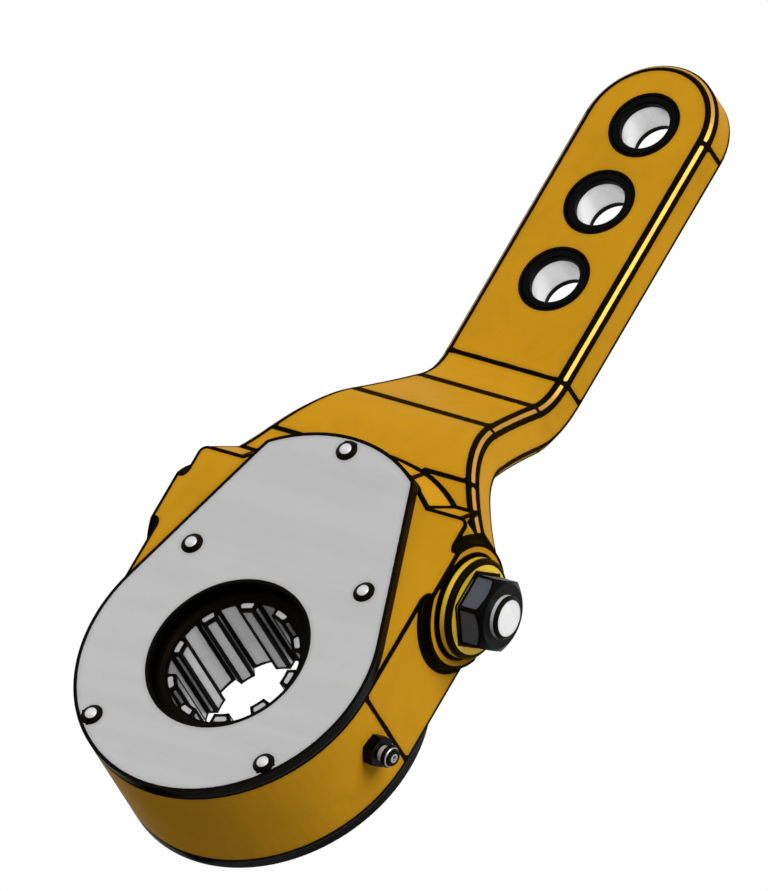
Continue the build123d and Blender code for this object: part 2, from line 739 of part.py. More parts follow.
def build_parts():
    parts = {
        "body": body(),
        "front_cover": cover(-1),
        "rear_cover": cover(1),
        "front_gasket": gasket(-1),
        "rear_gasket": gasket(1),
        "front_cover_rivets": rivets(-1),
        "rear_cover_rivets": rivets(1),
        "worm_wheel": worm_wheel(),
        "front_hub_seal": hub_seal(-1),
        "rear_hub_seal": hub_seal(1),
        "worm": worm(),
        "worm_pin": worm_pin(),
        "worm_shaft": worm_shaft(),
        "shaft_o_ring": shaft_o_ring(),
        "adjusting_hexagon": adjusting_hexagon(),
        "left_thrust_washer": thrust_washer(-1),
        "right_thrust_washer": thrust_washer(1),
        "left_shaft_bush": left_shaft_bush(),
        "right_shaft_bush": right_shaft_bush(),
        "worm_bore_plug": worm_bore_plug(),
        "lock_sleeve": lock_sleeve(),
        "lock_spring": lock_spring(),
        "sleeve_retaining_ring": sleeve_retaining_ring(),
        "grease_fitting": grease_fitting(),
        "fitting_ball": fitting_ball(),
        "fitting_spring": fitting_spring(),
    }
    for index, height in enumerate(clevis_hole_heights, start=1):
        parts[f"clevis_bushing_{index}"] = clevis_bushing(height)
    return parts


os.makedirs("parts", exist_ok=True)
for name, shape in build_parts().items():
    export_step(shape, f"parts/{name}.step")
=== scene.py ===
import heapq
import itertools
import json
import math

import bmesh
import bpy
from mathutils import Matrix, Vector, kdtree

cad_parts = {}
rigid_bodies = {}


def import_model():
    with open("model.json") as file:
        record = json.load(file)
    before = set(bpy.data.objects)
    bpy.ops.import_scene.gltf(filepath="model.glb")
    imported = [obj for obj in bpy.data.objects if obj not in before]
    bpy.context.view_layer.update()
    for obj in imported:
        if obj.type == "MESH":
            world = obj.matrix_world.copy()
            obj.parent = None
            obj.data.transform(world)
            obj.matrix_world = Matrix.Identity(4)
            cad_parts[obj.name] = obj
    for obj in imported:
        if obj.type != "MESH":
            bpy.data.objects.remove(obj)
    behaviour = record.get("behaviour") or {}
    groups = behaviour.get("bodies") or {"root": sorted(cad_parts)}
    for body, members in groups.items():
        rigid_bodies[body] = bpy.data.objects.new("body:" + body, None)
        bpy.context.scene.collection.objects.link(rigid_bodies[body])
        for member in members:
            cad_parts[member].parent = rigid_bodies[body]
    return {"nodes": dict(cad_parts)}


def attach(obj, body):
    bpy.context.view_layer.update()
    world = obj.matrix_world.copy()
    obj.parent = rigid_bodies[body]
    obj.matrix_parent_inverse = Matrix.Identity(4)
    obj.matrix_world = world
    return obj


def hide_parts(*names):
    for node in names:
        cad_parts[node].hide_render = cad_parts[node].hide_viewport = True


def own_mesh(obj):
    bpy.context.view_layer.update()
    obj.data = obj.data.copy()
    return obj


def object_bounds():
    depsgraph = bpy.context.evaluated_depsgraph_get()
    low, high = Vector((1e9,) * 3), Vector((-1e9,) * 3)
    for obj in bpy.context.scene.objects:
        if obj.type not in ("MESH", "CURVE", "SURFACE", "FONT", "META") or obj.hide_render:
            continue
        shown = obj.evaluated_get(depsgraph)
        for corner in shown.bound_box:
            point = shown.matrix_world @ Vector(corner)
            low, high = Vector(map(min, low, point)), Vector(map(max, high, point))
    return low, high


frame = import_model()
cad_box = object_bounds()

# Sizes that the finished pieces share with the solids, in metres: covers, rivets and clevis bushings
cover_face = 0.0185
rivet_circle = 0.040
rivet_circle_count = 4
top_rivet_height = 0.067
rivet_head_radius = 0.00285
rivet_head_height = 0.00128
rivet_shank_radius = 0.0021
rivet_shank_length = 0.0090
clevis_heights = (0.1524, 0.1778, 0.2032)
clevis_bore_radius = 0.0071
clevis_seat_radius = 0.0094
clevis_chamfer = 0.0004

# The arm: a straight upper end, two bends with a slope between them, and a flare toward the housing
arm_front = 0.02365
arm_thickness = 0.0132
arm_half_width = 0.0202
arm_bevel = 0.002
arm_slope = math.radians(45)
upper_bend_height = 0.124
upper_bend_radius = 0.016
foot_bend_radius = 0.0304
arm_flare_radius = 0.0977
arm_foot_front = -0.0085

# The housing with its bosses, and the sloped shoulders as pairs of a distance from the middle and a height
half_body = 0.0155
half_width = 0.044
housing_crown = 0.055
side_wall = 0.0015
worm_height = 0.0413
boss_radius = 0.0172
boss_fillet = 0.0011
boss_top = 0.060
boss_face = 0.0465
boss_bore_radius = 0.0140
boss_mouth_width = 0.0006
boss_mouth_depth = 0.0005
sleeve_ring_radius = 0.0140
shoulder_reach = 0.0180
shoulder_outer_edge = ((0.0303, 0.0587), (0.0328, 0.0642))
shoulder_inner_edge = ((0.0208, 0.0659), (0.0184, 0.0714))
shoulder_bottom = 0.056
shoulder_top = 0.078

# The wheel's bore with the radii of its painted shade ring, and the grease fitting
hub_ring_radii = (0.0197, 0.0300)
spline_zone_radius = 0.0205
fitting_angle = math.radians(-8.5)
fitting_axis = Vector((math.cos(fitting_angle), 0, math.sin(fitting_angle)))
fitting_hexagon_length = 0.0032
fitting_head_height = 0.0052
fitting_tip_radius = 0.0021

# Margins by which a point or a face counts as on a surface, near it, or clear inside the piece
on_surface = 0.00005
near_surface = 0.0001
clear_inside = 0.0003
boss_zone_margin = 0.003
boss_zone_depth = 0.001
shoulder_zone_depth = 0.002

# Lines: the reach of the edge field, the angle that makes an edge, and the spacing of the points along one
edge_reach = 0.003
crease_angle = math.radians(28)
shortest_crease = 0.003
sample_step = 0.0004
bend_handicap = 0.00015
slope_line_steps = (0.0, 0.0006, 0.0012, 0.0018)

# Meshes: the angle below which faces are one flat, the distance that joins points, and the edge lengths
flat_angle = math.radians(0.3)
joining_distance = 1e-6
fine_mesh_size = 0.0008
fitting_mesh_size = 0.0005
hexagon_mesh_size = 0.0006
sleeve_mesh_size = 0.001
shaft_mesh_size = 0.0015
mesh_size = 0.002
wheel_mesh_size = 0.003

# Grown shapes: how finely their rounds are cut, and the share of a dome that its rings cover
rivet_head_sides = 28
rivet_dome_rings = 9
rivet_dome_share = 0.97
rivet_shank_sides = 20
bushing_sides = 72

# Faces told apart by how far their normals lean
end_face_lean = 0.7
rim_face_lean = 0.5
ring_end_lean = 0.3
tip_bevel_lean = (0.6, 0.8)
tip_bevel_rise = 0.75
side_bevel_lean = (0.5, 0.74)

# The studio: its light level, its lamps by the direction in which they stand, its floor and its view
studio_level = 0.31
key_toward = (0.638, -0.692, 0.337)
back_toward = (-0.5435, 0.7579, 0.3609)
floor_reach = 6.0
floor_gap = 0.0002
view_right = (0.8076, 0.3547, 0.4712)
view_up = (-0.2291, -0.5475, 0.8048)
view_centre = (0.034955, 0.065388)
view_size = 0.23693
view_distance = 1.0


# Node helpers


def add_node(tree, kind, inputs=None, **settings):
    """Add a node, set its options, and feed its inputs with values or with other sockets."""
    made = tree.nodes.new(kind)
    for key, value in settings.items():
        setattr(made, key, value)
    for key, value in (inputs or {}).items():
        if isinstance(value, bpy.types.NodeSocket):
            tree.links.new(value, made.inputs[key])
        else:
            made.inputs[key].default_value = value
    return made


def calculate(tree, operation, first, second=0.0, clamp=False):
    made = add_node(tree, "ShaderNodeMath", {0: first, 1: second}, operation=operation, use_clamp=clamp)
    return made.outputs[0]


def mix_colours(tree, factor, first, second, blend="MIX"):
    made = add_node(tree, "ShaderNodeMix", {0: factor, 6: first, 7: second},
                    data_type="RGBA", blend_type=blend)
    return made.outputs[2]


def ramp(tree, value, low, high, to_low=0.0, to_high=1.0):
    """Smooth step of a value between two levels."""
    made = add_node(tree, "ShaderNodeMapRange", {0: value, 1: low, 2: high, 3: to_low, 4: to_high},
                    interpolation_type="SMOOTHSTEP")
    return made.outputs[0]


def new_group(name, inputs, outputs):
    """Shader group with named sockets; an input is a default number, or three for a vector."""
    tree = bpy.data.node_groups.new(name, "ShaderNodeTree")
    for key, value in inputs.items():
        kind = "NodeSocketVector" if isinstance(value, tuple) else "NodeSocketFloat"
        socket = tree.interface.new_socket(key, in_out="INPUT", socket_type=kind)
        socket.default_value = value
    for key in outputs:
        tree.interface.new_socket(key, in_out="OUTPUT", socket_type="NodeSocketFloat")
    return tree, tree.nodes.new("NodeGroupInput").outputs, tree.nodes.new("NodeGroupOutput").inputs


# Shader groups, each built once


def edge_line_group():
    """Dark line that years of grease leave along a worn edge, a little uneven in width."""
    softness = 0.035
    rub_start = -0.45
    rub_end = -0.05
    tree, given, result = new_group(
        "edge_line", {"Vector": (0, 0, 0), "Near": 0.0, "Width": 0.0008, "Breakup": 0.05},
        ["Line", "Rub"])
    ripple = add_node(tree, "ShaderNodeTexNoise",
                      {"Vector": given["Vector"], "Scale": 420.0, "Detail": 3.0})
    shake = calculate(tree, "SUBTRACT", ripple.outputs["Fac"], 0.5)
    shake = calculate(tree, "MULTIPLY", shake, given["Breakup"])
    near = calculate(tree, "ADD", given["Near"], shake)
    level = calculate(tree, "SUBTRACT", 1.0, calculate(tree, "DIVIDE", given["Width"], edge_reach))
    from_level = calculate(tree, "SUBTRACT", near, level)
    tree.links.new(ramp(tree, from_level, -softness, softness), result["Line"])
    tree.links.new(ramp(tree, from_level, rub_start, rub_end), result["Rub"])
    return tree


def cast_skin_group():
    """Sand-cast skin under paint: fine grain, shallow pits and a slow change of tone."""
    grain_share = 0.7
    pit_floor = 0.05
    pit_rim = 0.35
    tree, given, result = new_group(
        "cast_skin", {"Vector": (0, 0, 0), "Grain": 900.0, "Pits": 260.0}, ["Height", "Tone"])
    grain = add_node(tree, "ShaderNodeTexNoise",
                     {"Vector": given["Vector"], "Scale": given["Grain"], "Detail": 4.0, "Roughness": 0.6})
    pits = add_node(tree, "ShaderNodeTexVoronoi", {"Vector": given["Vector"], "Scale": given["Pits"]},
                    feature="SMOOTH_F1")
    hollow = ramp(tree, pits.outputs["Distance"], pit_floor, pit_rim)
    height = calculate(tree, "ADD", calculate(tree, "MULTIPLY", grain.outputs["Fac"], grain_share),
                       calculate(tree, "MULTIPLY", hollow, 1 - grain_share))
    tone = add_node(tree, "ShaderNodeTexNoise", {"Vector": given["Vector"], "Scale": 45.0, "Detail": 3.0})
    tree.links.new(height, result["Height"])
    tree.links.new(tone.outputs["Fac"], result["Tone"])
    return tree


def tool_marks_group():
    """Fine parallel marks of a tool or of rolling, drawn out along one direction."""
    fine_share = 0.6
    broad_scale = 0.2
    tree, given, result = new_group(
        "tool_marks", {"Vector": (0, 0, 0), "Stretch": (1.0, 1.0, 1.0), "Scale": 900.0},
        ["Height", "Streak"])
    drawn = add_node(tree, "ShaderNodeVectorMath", {0: given["Vector"], 1: given["Stretch"]},
                     operation="MULTIPLY")
    fine = add_node(tree, "ShaderNodeTexNoise",
                    {"Vector": drawn.outputs[0], "Scale": given["Scale"], "Detail": 2.0})
    broad = add_node(tree, "ShaderNodeTexNoise",
                     {"Vector": drawn.outputs[0], "Detail": 2.0,
                      "Scale": calculate(tree, "MULTIPLY", given["Scale"], broad_scale)})
    height = calculate(tree, "ADD", calculate(tree, "MULTIPLY", fine.outputs["Fac"], fine_share),
                       calculate(tree, "MULTIPLY", broad.outputs["Fac"], 1 - fine_share))
    tree.links.new(height, result["Height"])
    tree.links.new(broad.outputs["Fac"], result["Streak"])
    return tree


def smudge_group():
    """Uneven film of grease and handling, as a mask."""
    clean_below = 0.42
    covered_above = 0.72
    tree, given, result = new_group(
        "smudge", {"Vector": (0, 0, 0), "Scale": 60.0, "Amount": 0.5}, ["Mask"])
    cloud = add_node(tree, "ShaderNodeTexNoise",
                     {"Vector": given["Vector"], "Scale": given["Scale"], "Detail": 5.0,
                      "Roughness": 0.65, "Distortion": 0.6})
    mask = ramp(tree, cloud.outputs["Fac"], clean_below, covered_above)
    tree.links.new(calculate(tree, "MULTIPLY", mask, given["Amount"]), result["Mask"])
    return tree


edge_line = edge_line_group()
cast_skin = cast_skin_group()
tool_marks = tool_marks_group()
smudge = smudge_group()


# Materials


class Finish:
    """One material while it is being built: its tree, its shader and the object coordinates."""

    def __init__(self, name, colour, roughness, metallic=0.0, specular=0.5, tint=(1.0, 1.0, 1.0)):
        self.material = bpy.data.materials.new(name)
        self.material.use_nodes = True
        self.material.diffuse_color = (*colour, 1.0)
        self.tree = self.material.node_tree
        self.tree.nodes.clear()
        output = self.tree.nodes.new("ShaderNodeOutputMaterial")
        self.shader = self.tree.nodes.new("ShaderNodeBsdfPrincipled")
        self.tree.links.new(self.shader.outputs[0], output.inputs[0])
        self.shader.inputs["Specular IOR Level"].default_value = specular
        self.shader.inputs["Specular Tint"].default_value = (*tint, 1.0)
        self.place = self.tree.nodes.new("ShaderNodeTexCoord").outputs["Object"]
        self.colour = (*colour, 1.0)
        self.roughness = roughness
        self.metallic = metallic
        self.height = None

    def group(self, tree, **inputs):
        made = self.tree.nodes.new("ShaderNodeGroup")
        made.node_tree = tree
        self.tree.links.new(self.place, made.inputs["Vector"])
        for key, value in inputs.items():
            if isinstance(value, bpy.types.NodeSocket):
                self.tree.links.new(value, made.inputs[key])
            else:
                made.inputs[key].default_value = value
        return made.outputs

    def skin(self, depth, contrast, grain=900.0, pits=260.0):
        """Cast or moulded surface: bump, and light and dark patches."""
        made = self.group(cast_skin, Grain=grain, Pits=pits)
        self.bump(made["Height"], depth)
        self.vary(made["Tone"], contrast)
        return self

    def marks(self, depth, contrast, stretch, scale=900.0):
        """Machined or rolled surface: fine marks, and streaks of tone along them."""
        made = self.group(tool_marks, Stretch=stretch, Scale=scale)
        self.bump(made["Height"], depth)
        self.vary(made["Streak"], contrast)
        return self

    def bump(self, height, depth):
        scaled = calculate(self.tree, "MULTIPLY", height, depth)
        self.height = scaled if self.height is None else calculate(self.tree, "ADD", self.height, scaled)

    def vary(self, tone, contrast, dark=0.25, bright=0.75):
        light = ramp(self.tree, tone, dark, bright, 1.0 - contrast, 1.0 + contrast)
        grey = add_node(self.tree, "ShaderNodeCombineColor", {0: light, 1: light, 2: light})
        self.colour = mix_colours(self.tree, 1.0, self.colour, grey.outputs[0], "MULTIPLY")

    def grease(self, amount, scale=60.0, colour=(0.03, 0.022, 0.012), strength=0.35, dulling=0.18):
        """Greasy film that darkens and changes the gloss in patches."""
        mask = self.group(smudge, Scale=scale, Amount=amount)["Mask"]
        film = calculate(self.tree, "MULTIPLY", mask, strength)
        self.colour = mix_colours(self.tree, film, self.colour, (*colour, 1.0))
        change = calculate(self.tree, "MULTIPLY", mask, dulling)
        self.roughness = calculate(self.tree, "ADD", change, self.roughness)
        return self

    def lines(self, width, breakup=0.05, colour=(0.004, 0.003, 0.002), rub=0.12, dulling=0.3):
        """Dark line along the edges, with a faint rubbed zone beside it."""
        near = add_node(self.tree, "ShaderNodeAttribute", attribute_name="edge_near").outputs["Fac"]
        made = self.group(edge_line, Near=near, Width=width, Breakup=breakup)
        soft = calculate(self.tree, "MULTIPLY", made["Rub"], rub)
        self.colour = mix_colours(self.tree, soft, self.colour, (*colour, 1.0))
        self.colour = mix_colours(self.tree, made["Line"], self.colour, (*colour, 1.0))
        dull = calculate(self.tree, "MULTIPLY", made["Line"], dulling)
        self.roughness = calculate(self.tree, "ADD", dull, self.roughness, clamp=True)
        self.bare_metal_and_shade(made["Line"])
        return self

    def bare_metal_and_shade(self, mask):
        """Dark full metal in place of the finish where the mask is 1: bare metal under the edge lines, and
        painted shade in the wheel's hub ring.
        """
        rest = calculate(self.tree, "SUBTRACT", 1.0, self.metallic)
        bared = calculate(self.tree, "MULTIPLY", mask, rest)
        self.metallic = calculate(self.tree, "ADD", bared, self.metallic)

    def painted_shade_ring(self, radii, colour, blend=0.0002):
        """Black ring between two radii about the bore's axis: painted shade of the hub face, down in the
        cover's hole round the splines.
        """
        inner, outer = radii
        apart = add_node(self.tree, "ShaderNodeSeparateXYZ", {0: self.place})
        flat = add_node(self.tree, "ShaderNodeCombineXYZ", {0: apart.outputs[0], 2: apart.outputs[2]})
        radius = add_node(self.tree, "ShaderNodeVectorMath", {0: flat.outputs[0]}, operation="LENGTH")
        beyond = ramp(self.tree, radius.outputs["Value"], inner - blend, inner + blend)
        within = ramp(self.tree, radius.outputs["Value"], outer - blend, outer + blend, 1.0, 0.0)
        zone = calculate(self.tree, "MULTIPLY", beyond, within)
        self.colour = mix_colours(self.tree, zone, self.colour, (*colour, 1.0))
        self.bare_metal_and_shade(zone)
        return self

    def done(self):
        if isinstance(self.colour, bpy.types.NodeSocket):
            self.tree.links.new(self.colour, self.shader.inputs["Base Color"])
        if isinstance(self.roughness, bpy.types.NodeSocket):
            self.tree.links.new(self.roughness, self.shader.inputs["Roughness"])
        else:
            self.shader.inputs["Roughness"].default_value = self.roughness
        if isinstance(self.metallic, bpy.types.NodeSocket):
            self.tree.links.new(self.metallic, self.shader.inputs["Metallic"])
        else:
            self.shader.inputs["Metallic"].default_value = self.metallic
        if self.height is not None:
            bump = add_node(self.tree, "ShaderNodeBump", {"Height": self.height, "Distance": 0.001})
            self.tree.links.new(bump.outputs[0], self.shader.inputs["Normal"])
        return self.material


line_width = 0.0009

gold_paint = (
    Finish("gold_paint", (0.53, 0.260, 0.010), roughness=0.52, specular=0.03, tint=(1.0, 0.75, 0.2))
    .skin(depth=0.05, contrast=0.04)
    .grease(amount=0.25)
    .lines(width=line_width)
    .done())
plated_cover = (
    Finish("plated_cover", (0.49, 0.49, 0.49), roughness=0.45, metallic=1.0)
    .marks(depth=0.02, contrast=0.03, stretch=(0.04, 1.0, 1.0))
    .grease(amount=0.2, colour=(0.3, 0.29, 0.27))
    .lines(width=0.00105)
    .done())
bevel_paint = (
    Finish("bevel_paint", (0.56, 0.285, 0.048), roughness=0.40, metallic=0.5, tint=(1.0, 0.75, 0.2))
    .skin(depth=0.03, contrast=0.04)
    .grease(amount=0.2)
    .lines(width=line_width)
    .done())
gasket_sheet = (
    Finish("gasket_sheet", (0.008, 0.008, 0.007), roughness=0.8, specular=0.2)
    .skin(depth=0.06, contrast=0.3, grain=2200.0)
    .grease(amount=0.2)
    .done())
rivet_steel = (
    Finish("rivet_steel", (0.70, 0.70, 0.70), roughness=0.35, metallic=0.8)
    .skin(depth=0.02, contrast=0.05)
    .grease(amount=0.2)
    .lines(width=0.0010)
    .done())
wheel_steel = (
    Finish("wheel_steel", (0.53, 0.53, 0.54), roughness=0.38, metallic=0.85)
    .marks(depth=0.03, contrast=0.12, stretch=(1.0, 0.03, 1.0))
    .grease(amount=0.4)
    # the black hub ring is painted shade of the recess round the splines
    .painted_shade_ring(hub_ring_radii, colour=(0.002, 0.002, 0.002))
    .lines(width=0.00095)
    .done())
hexagon_steel = (
    Finish("hexagon_steel", (0.072, 0.082, 0.100), roughness=0.46, specular=0.04)
    .skin(depth=0.03, contrast=0.10)
    .grease(amount=0.2, colour=(0.03, 0.03, 0.035))
    .lines(width=0.0008)
    .done())
blackened_face = (
    Finish("blackened_face", (0.0020, 0.0020, 0.0020), roughness=0.5, metallic=1.0)
    .marks(depth=0.03, contrast=0.2, stretch=(1.0, 1.0, 0.1))
    .grease(amount=0.1, colour=(0.004, 0.004, 0.004))
    .done())
shaft_steel = (
    Finish("shaft_steel", (0.83, 0.83, 0.83), roughness=0.3, metallic=0.4)
    .marks(depth=0.02, contrast=0.04, stretch=(1.0, 0.2, 1.0))
    .grease(amount=0.2)
    .lines(width=0.0004)
    .done())
yellow_zinc = (
    Finish("yellow_zinc", (0.86, 0.57, 0.03), roughness=0.36, metallic=0.3, tint=(1.0, 0.9, 0.4))
    .skin(depth=0.02, contrast=0.06)
    .grease(amount=0.2)
    .lines(width=0.00072)
    .done())
bushing_bore = (
    Finish("bushing_bore", (0.88, 0.88, 0.88), roughness=0.32, metallic=0.7)
    .marks(depth=0.02, contrast=0.06, stretch=(1.0, 0.03, 1.0))
    .grease(amount=0.3)
    .lines(width=0.0017)
    .done())
fitting_neck = (
    Finish("fitting_neck", (0.88, 0.88, 0.88), roughness=0.3, metallic=0.7)
    .skin(depth=0.02, contrast=0.1)
    .grease(amount=0.3)
    .lines(width=0.0004)
    .done())
fitting_head = (
    Finish("fitting_head", (0.47, 0.47, 0.47), roughness=0.3, metallic=0.85)
    .skin(depth=0.02, contrast=0.1)
    .grease(amount=0.3)
    .lines(width=0.00085)
    .done())
ball_steel = (
    Finish("ball_steel", (0.45, 0.45, 0.45), roughness=0.25, metallic=0.9)
    .skin(depth=0.01, contrast=0.06)
    .grease(amount=0.3)
    .done())
cut_steel = (
    Finish("cut_steel", (0.45, 0.45, 0.46), roughness=0.35, metallic=0.9)
    .marks(depth=0.03, contrast=0.1, stretch=(0.03, 1.0, 1.0))
    .grease(amount=0.6)
    .done())
seal_rubber = (
    Finish("seal_rubber", (0.005, 0.005, 0.005), roughness=0.6, specular=0.06)
    .skin(depth=0.03, contrast=0.2, grain=1500.0)
    .grease(amount=0.3)
    .done())
bush_bronze = (
    Finish("bush_bronze", (0.52, 0.30, 0.11), roughness=0.38, metallic=0.9)
    .marks(depth=0.03, contrast=0.1, stretch=(0.05, 1.0, 1.0))
    .grease(amount=0.5)
    .done())
spring_steel = (
    Finish("spring_steel", (0.22, 0.21, 0.20), roughness=0.4, metallic=0.85)
    .skin(depth=0.03, contrast=0.15, grain=1800.0)
    .grease(amount=0.5)
    .done())


# Pieces dressed from the solids


def merged_mesh(node):
    """A node's shape as one joined mesh, its flat areas freed of slivers."""
    shape = bmesh.new()
    shape.from_mesh(frame["nodes"][node].data)
    bmesh.ops.remove_doubles(shape, verts=shape.verts, dist=joining_distance)
    bmesh.ops.dissolve_limit(shape, angle_limit=flat_angle, verts=shape.verts, edges=shape.edges)
    bmesh.ops.triangulate(shape, faces=shape.faces)
    return shape


def middle_of(edge):
    return edge.verts[0].co.lerp(edge.verts[1].co, 0.5)


def refine(shape, size, lines, fine=None):
    """Halve the edges near the lines, the longest first, so that every vertex can hold the edge field."""
    queue = []
    order = itertools.count()

    def enter(edge):
        length = edge.calc_length()
        middle = middle_of(edge)
        limit = fine_mesh_size if fine and fine(middle) else size
        if length > limit and lines.find(middle)[2] < edge_reach + length / 2:
            heapq.heappush(queue, (-length, next(order), edge))

    for edge in shape.edges:
        enter(edge)
    while queue:
        edge = heapq.heappop(queue)[2]
        other_half, vertex = bmesh.utils.edge_split(edge, edge.verts[0], 0.5)
        enter(edge)
        enter(other_half)
        for corner in list(vertex.link_loops):
            opposite = corner.link_loop_next.link_loop_next.vert
            cut = bmesh.utils.face_split(corner.face, vertex, opposite)[1]
            enter(cut.edge)
    shape.normal_update()


def points_along(start, end):
    steps = max(1, math.ceil((end - start).length / sample_step))
    return [start.lerp(end, index / steps) for index in range(steps + 1)]


def is_crease(edge):
    return len(edge.link_faces) != 2 or edge.calc_face_angle(0.0) > crease_angle


def long_creases(shape, ignore):
    """Creases in chains long enough to be edges of the part, not a facet's own corner."""
    creases = {edge for edge in shape.edges if is_crease(edge)}
    if ignore:
        creases = {edge for edge in creases if not ignore(middle_of(edge))}
    kept = []
    while creases:
        chain = [creases.pop()]
        for edge in chain:
            for vertex in edge.verts:
                joined = [other for other in vertex.link_edges if other in creases]
                creases.difference_update(joined)
                chain += joined
        if sum(edge.calc_length() for edge in chain) > shortest_crease:
            kept += chain
    return kept


def field_tree(points):
    tree = kdtree.KDTree(len(points))
    for index, point in enumerate(points):
        tree.insert(point, index)
    tree.balance()
    return tree


def store_edge_field(mesh, points, bend_points):
    """Write how near each vertex is to an edge: 1 on it, 0 from the reach onward."""
    if not points:
        return
    edges = field_tree(points)
    bends = field_tree(bend_points)
    values = []
    for vertex in mesh.vertices:
        distance = edges.find(vertex.co)[2]
        if bend_points:
            distance = min(distance, bends.find(vertex.co)[2] + bend_handicap)
        values.append(max(0.0, 1.0 - distance / edge_reach))
    field = mesh.attributes.new("edge_near", "FLOAT", "POINT")
    field.data.foreach_set("value", values)


def mark_creases(shape, ignore=None):
    """Mark the creases sharp, and give points along those that carry a line."""
    for edge in shape.edges:
        edge.smooth = not is_crease(edge)
    points = []
    for edge in long_creases(shape, ignore):
        points += points_along(edge.verts[0].co, edge.verts[1].co)
    return points


def finish_mesh(shape, name, line_points, bend_points=()):
    """Turn the working shape into a piece at the origin, with its edge field."""
    for face in shape.faces:
        face.smooth = True
    mesh = bpy.data.meshes.new(name)
    shape.to_mesh(mesh)
    shape.free()
    store_edge_field(mesh, line_points, bend_points)
    piece = bpy.data.objects.new(name, mesh)
    bpy.context.scene.collection.objects.link(piece)
    return piece


def body_name(node):
    return frame["nodes"][node].parent.name.split(":", 1)[1]


def stand_for(piece, node):
    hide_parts(node)
    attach(piece, body_name(node))
    return piece


def dress(node, materials, extra=(), bends=(), choose=None, ignore=None, fine=None, size=mesh_size):
    """Finished piece in the exact shape of a node, with its materials chosen face by face."""
    shape = merged_mesh(node)
    line_points = mark_creases(shape, ignore) + list(extra)
    if choose:
        for face in shape.faces:
            face.material_index = choose(face)
    refine(shape, size, field_tree(line_points + list(bends)), fine)
    piece = finish_mesh(shape, f"{node}_finished", line_points, list(bends))
    for material in materials:
        piece.data.materials.append(material)
    return stand_for(piece, node)


# Places of the lines on the arm, the body and the covers


def ring_points(x, y, z, radius, axis="Y"):
    """Points round a circle about a line along Y or X."""
    count = math.ceil(2 * math.pi * radius / sample_step)
    points = []
    for index in range(count):
        turn = 2 * math.pi * index / count
        first = radius * math.cos(turn)
        second = radius * math.sin(turn)
        if axis == "Y":
            points.append(Vector((x + first, y, z + second)))
        else:
            points.append(Vector((x, y + first, z + second)))
    return points


def arm_half_width_at(z):
    """Half the arm's width: straight above the upper bend, flared by one long arc below it."""
    drop = min(max(upper_bend_height - z, 0.0), arm_flare_radius)
    reach = arm_flare_radius - math.sqrt(arm_flare_radius**2 - drop**2)
    return min(arm_half_width + reach, half_width)


def arm_bend_lines():
    """Tangent lines across the arm and its bevels, where its flats run into its bends, front and rear."""
    sine = math.sin(arm_slope)
    cosine = math.cos(arm_slope)
    shift = arm_front - arm_foot_front
    radii = upper_bend_radius + foot_bend_radius
    slope = (shift - radii * (1 - cosine)) / sine
    low_z = upper_bend_height - slope * cosine - radii * sine
    low_y = arm_foot_front + foot_bend_radius
    high_y = arm_front - upper_bend_radius
    points = []
    for depth, inward in ((0.0, 1), (arm_thickness, -1)):
        low = foot_bend_radius - depth
        high = upper_bend_radius + depth
        places = [
            (low_y - low, low_z, 0.0, 0),
            (low_y - low * cosine, low_z + low * sine, arm_slope, 1),
            (high_y + high * cosine, upper_bend_height - high * sine, arm_slope, -1),
            (high_y + high, upper_bend_height, 0.0, 0),
        ]
        for y, z, lean, onto_slope in places:
            side_y = y + inward * arm_bevel * math.cos(lean)
            side_z = z - inward * arm_bevel * math.sin(lean)
            flat = arm_half_width_at(z) - arm_bevel
            wide = arm_half_width_at(side_z)
            clear = shoulder_reach if z == low_z and inward == 1 else 0.0
            for step in slope_line_steps if inward == 1 and onto_slope else (0.0,):
                line_y = y + onto_slope * step * math.sin(lean)
                line_z = z + onto_slope * step * math.cos(lean)
                for side in (-1, 1):
                    points += points_along(Vector((side * clear, line_y, line_z)),
                                           Vector((side * flat, line_y, line_z)))
            for side in (-1, 1):
                inner = Vector((side * flat, y, z))
                points += points_along(inner, Vector((side * wide, side_y, side_z)))
    return points


def arm_side_lines():
    """Short lines through the arm's rim, where its straight sides run into the tip and into the flare."""
    points = []
    for side in (-1, 1):
        for z in (clevis_heights[-1], upper_bend_height):
            front = Vector((side * arm_half_width, arm_front + arm_bevel, z))
            rear = Vector((side * arm_half_width, arm_front + arm_thickness - arm_bevel, z))
            points += points_along(front, rear)
        inset = Vector((side * (arm_half_width - arm_bevel), arm_front, clevis_heights[-1]))
        rim = Vector((side * arm_half_width, arm_front + arm_bevel, clevis_heights[-1]))
        points += points_along(inset, rim)
    return points


def boss_foot_rings():
    """Both ends of the fillet round each boss, as far as the body's faces."""
    points = []
    for side in (-1, 1):
        rings = ring_points(side * half_width, 0, worm_height, boss_radius + boss_fillet, "X")
        rings += ring_points(side * (half_width + boss_fillet), 0, worm_height, boss_radius, "X")
        points += [point for point in rings if abs(point.y) < half_body]
    return points


def body_side_lines():
    """Where the body's flat sides run into its round end."""
    points = []
    for x in (-half_width, half_width):
        points += points_along(Vector((x, -half_body, 0)), Vector((x, half_body, 0)))
    return points


def shoulder_lines():
    """Short edges of the sloped shoulders between the body's front and the foot of the arm."""
    points = []
    for side in (-1, 1):
        for low, high in (shoulder_outer_edge, shoulder_inner_edge):
            points += points_along(Vector((side * low[0], -half_body, low[1])),
                                   Vector((side * high[0], arm_foot_front, high[1])))
    return points


def hexagon_end_faces(face):
    """The hexagon's end and the cone round it."""
    return 1 if face.normal.x > end_face_lean else 0


def cover_rim_faces(face):
    return 1 if abs(face.normal.y) < rim_face_lean else 0


def fitting_zones(face):
    """The fitting's bright neck, its black hexagon and its head."""
    height = face.calc_center_median().dot(fitting_axis) - half_width
    if height < fitting_hexagon_length + on_surface:
        return 1
    return 2 if height > fitting_head_height else 0


